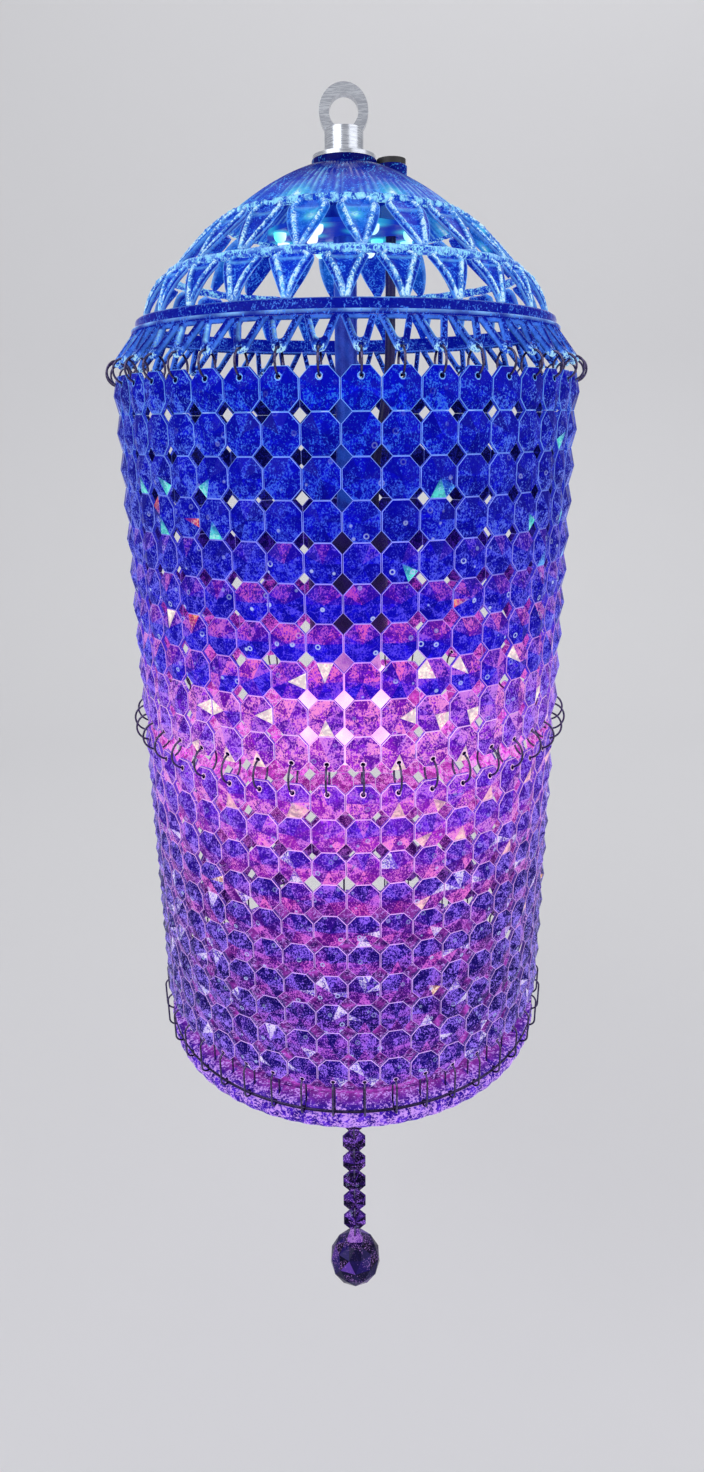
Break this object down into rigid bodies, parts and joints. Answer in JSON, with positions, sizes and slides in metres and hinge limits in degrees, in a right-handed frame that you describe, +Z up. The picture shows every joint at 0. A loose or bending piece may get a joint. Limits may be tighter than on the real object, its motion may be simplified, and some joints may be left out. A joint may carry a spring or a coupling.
{
  "type": "hanging bead chandelier",
  "caption": "Hanging lamp: petal dome over two curtains of octagon crystal beads, dish below, bead drop with a faceted ball.",
  "frame": {"origin": "centre of the bore in the hanging eye, on the lamp's axis", "axes": "+Z up along the lamp's axis, +Y along the hanging eye's bore; the picture is taken from -Y"},
  "size_m": [0.2114, 0.2114, 0.6549],
  "materials": {
    "crystal": "polished",
    "dome_glass": "polished",
    "dish_glass": "polished",
    "wire": "bright drawn wire",
    "hoop_wire": "dark drawn wire",
    "thread": "clear nylon",
    "hardware": "plated",
    "board": "white board",
    "lamp_lens": "clear",
    "black_plastic": "moulded",
    "white_plastic": "moulded",
    "bulb_metal": "rolled thread",
    "bulb_opal": "opal"
  },
  "bodies": {
    "root": {"hanging_eye": "hardware", "cap_washer": "hardware", "stem_tube": "hardware", "cap_nut": "hardware", "holder_nut": "hardware", "dome_cap": "dome_glass", "cap_ring": "dome_glass", "middle_ring": "dome_glass", "flange_ring": "dome_glass", "upper_petals": "dome_glass", "lower_petals": "dome_glass", "crown_loops": "dome_glass", "led_board": "board", "led_board_hub": "hardware", "led_lenses": "lamp_lens", "inlet_gland": "black_plastic", "terminal_block": "white_plastic", "inner_lead": "black_plastic", "lampholder_shell": "black_plastic", "lampholder_insert": "white_plastic", "upper_curtain_first_beads": "crystal", "upper_curtain_beads": "crystal", "upper_curtain_last_beads": "crystal", "lower_curtain_first_beads": "crystal", "lower_curtain_beads": "crystal", "lower_curtain_last_beads": "crystal", "upper_threads": "thread", "lower_threads": "thread", "crown_rings": "wire", "curtain_joint_rings": "wire", "hoop_links": "wire", "bottom_hoop": "hoop_wire", "bottom_dish": "dish_glass", "drop_eye": "wire", "drop_washer": "wire", "drop_nut": "wire"},
    "bulb": {"bulb_cap": "bulb_metal", "bulb_neck": "white_plastic", "bulb_globe": "bulb_opal"},
    "drop_hook": {"drop_top_ring": "wire"},
    "drop_upper": {"drop_upper_beads": "crystal", "drop_upper_rings": "wire"},
    "drop_middle": {"drop_middle_beads": "crystal", "drop_middle_rings": "wire"},
    "drop_lower": {"drop_lower_beads": "crystal", "drop_lower_rings": "wire"},
    "ball": {"ball_ring": "wire", "crystal_ball": "crystal"}
  },
  "joints": [
    {"name": "bulb_removal", "type": "slide", "parent": "root", "child": "bulb", "axis": [0, 0, -1], "range_m": [0, 0.045]},
    {"name": "hook_swing", "type": "hinge", "parent": "root", "child": "drop_hook", "pos_m": [0, 0, -0.45801], "axis": [1, 0, 0], "range_deg": [-25, 25]},
    {"name": "upper_length_swing", "type": "hinge", "parent": "drop_hook", "child": "drop_upper", "pos_m": [0, 0, -0.46651], "axis": [0, 1, 0], "range_deg": [-15, 15]},
    {"name": "middle_length_swing", "type": "hinge", "parent": "drop_upper", "child": "drop_middle", "pos_m": [0, 0, -0.51008], "axis": [1, 0, 0], "range_deg": [-15, 15]},
    {"name": "lower_length_swing", "type": "hinge", "parent": "drop_middle", "child": "drop_lower", "pos_m": [0, 0, -0.56171], "axis": [0, 1, 0], "range_deg": [-15, 15]},
    {"name": "ball_swing", "type": "hinge", "parent": "drop_lower", "child": "ball", "pos_m": [0, 0, -0.60548], "axis": [1, 0, 0], "range_deg": [-15, 15]}
  ]
}
